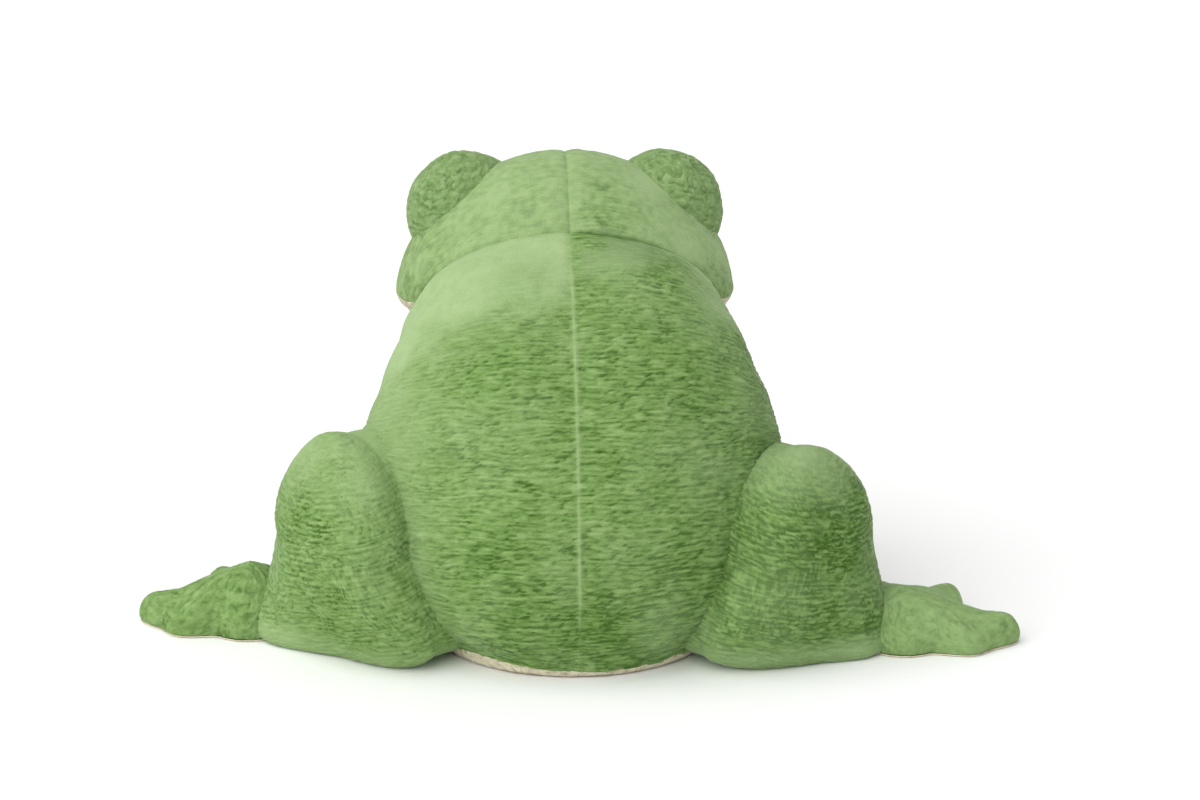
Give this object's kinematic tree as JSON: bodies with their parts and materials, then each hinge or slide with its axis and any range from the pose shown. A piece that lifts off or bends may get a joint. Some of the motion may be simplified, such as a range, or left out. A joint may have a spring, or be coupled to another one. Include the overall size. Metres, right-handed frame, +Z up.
{
  "type": "plush frog hand puppet",
  "caption": "Sitting plush frog glove puppet with a hand opening under the rump, a finger pocket, a working mouth and loose sewn legs.",
  "frame": {"origin": "on the surface the puppet sits on, under the middle of its bounding box", "axes": "+Z up, the puppet faces -Y, its left side is +X"},
  "size_m": [0.3786, 0.2164, 0.1989],
  "materials": {
    "green_plush": "short-pile plush, matte with a soft sheen",
    "cream_plush": "short-pile plush, matte",
    "lining": "plain woven lining",
    "filling": "polyester fibre filling",
    "mouth_fabric": "smooth woven fabric",
    "board": "stiff card board, matte",
    "eye_plastic": "polished"
  },
  "bodies": {
    "torso": {"back_panel_left": "green_plush", "back_panel_right": "green_plush", "belly_panel": "cream_plush", "opening_hem": "cream_plush", "torso_stuffing": "filling", "hand_sleeve": "lining"},
    "head": {"head_panel_left": "green_plush", "head_panel_right": "green_plush", "head_stuffing": "filling", "finger_pocket": "lining", "mouth_roof": "mouth_fabric", "upper_mouth_board": "board", "eye_mound_left": "green_plush", "eye_mound_stuffing_left": "filling", "eye_left": "eye_plastic", "eye_mound_right": "green_plush", "eye_mound_stuffing_right": "filling", "eye_right": "eye_plastic"},
    "jaw": {"jaw_panel": "cream_plush", "jaw_stuffing": "filling", "thumb_pocket": "lining", "mouth_floor": "mouth_fabric", "lower_mouth_board": "board"},
    "arm_left": {"arm_left": "green_plush", "arm_stuffing_left": "filling"},
    "thigh_left": {"thigh_left": "green_plush", "thigh_stuffing_left": "filling"},
    "foot_left": {"foot_left": "green_plush", "foot_sole_left": "cream_plush", "foot_stuffing_left": "filling"},
    "arm_right": {"arm_right": "green_plush", "arm_stuffing_right": "filling"},
    "thigh_right": {"thigh_right": "green_plush", "thigh_stuffing_right": "filling"},
    "foot_right": {"foot_right": "green_plush", "foot_sole_right": "cream_plush", "foot_stuffing_right": "filling"}
  },
  "joints": [
    {"name": "neck_nod", "type": "hinge", "parent": "torso", "child": "head", "pos_m": [0.0006, -0.0037, 0.138], "axis": [1, 0, 0], "range_deg": [-15, 10], "stiffness_Nm_per_rad": 1.2},
    {"name": "jaw_open", "type": "hinge", "parent": "head", "child": "jaw", "pos_m": [0.0006, -0.0257, 0.134], "axis": [1, 0, 0], "range_deg": [0, 25], "stiffness_Nm_per_rad": 0.15, "springref_deg": -11.46},
    {"name": "arm_swing_left", "type": "hinge", "parent": "torso", "child": "arm_left", "pos_m": [0.0738, -0.014, 0.072], "axis": [-0.6919, 0.722, 0], "range_deg": [-15, 35]},
    {"name": "hip_swing_left", "type": "hinge", "parent": "torso", "child": "thigh_left", "pos_m": [0.0931, 0.0493, 0.0475], "axis": [-0.809, -0.5878, 0], "range_deg": [-20, 40]},
    {"name": "ankle_flex_left", "type": "hinge", "parent": "thigh_left", "child": "foot_left", "pos_m": [0.1406, 0.0283, 0.01], "axis": [0.5878, -0.809, 0], "range_deg": [-30, 20]},
    {"name": "arm_swing_right", "type": "hinge", "parent": "torso", "child": "arm_right", "pos_m": [-0.0726, -0.014, 0.072], "axis": [-0.6919, -0.722, 0], "range_deg": [-15, 35]},
    {"name": "hip_swing_right", "type": "hinge", "parent": "torso", "child": "thigh_right", "pos_m": [-0.0879, 0.0581, 0.0475], "axis": [-0.7431, 0.6691, 0], "range_deg": [-20, 40]},
    {"name": "ankle_flex_right", "type": "hinge", "parent": "thigh_right", "child": "foot_right", "pos_m": [-0.1394, 0.0613, 0.01], "axis": [0.6691, 0.7431, 0], "range_deg": [-30, 20]}
  ]
}
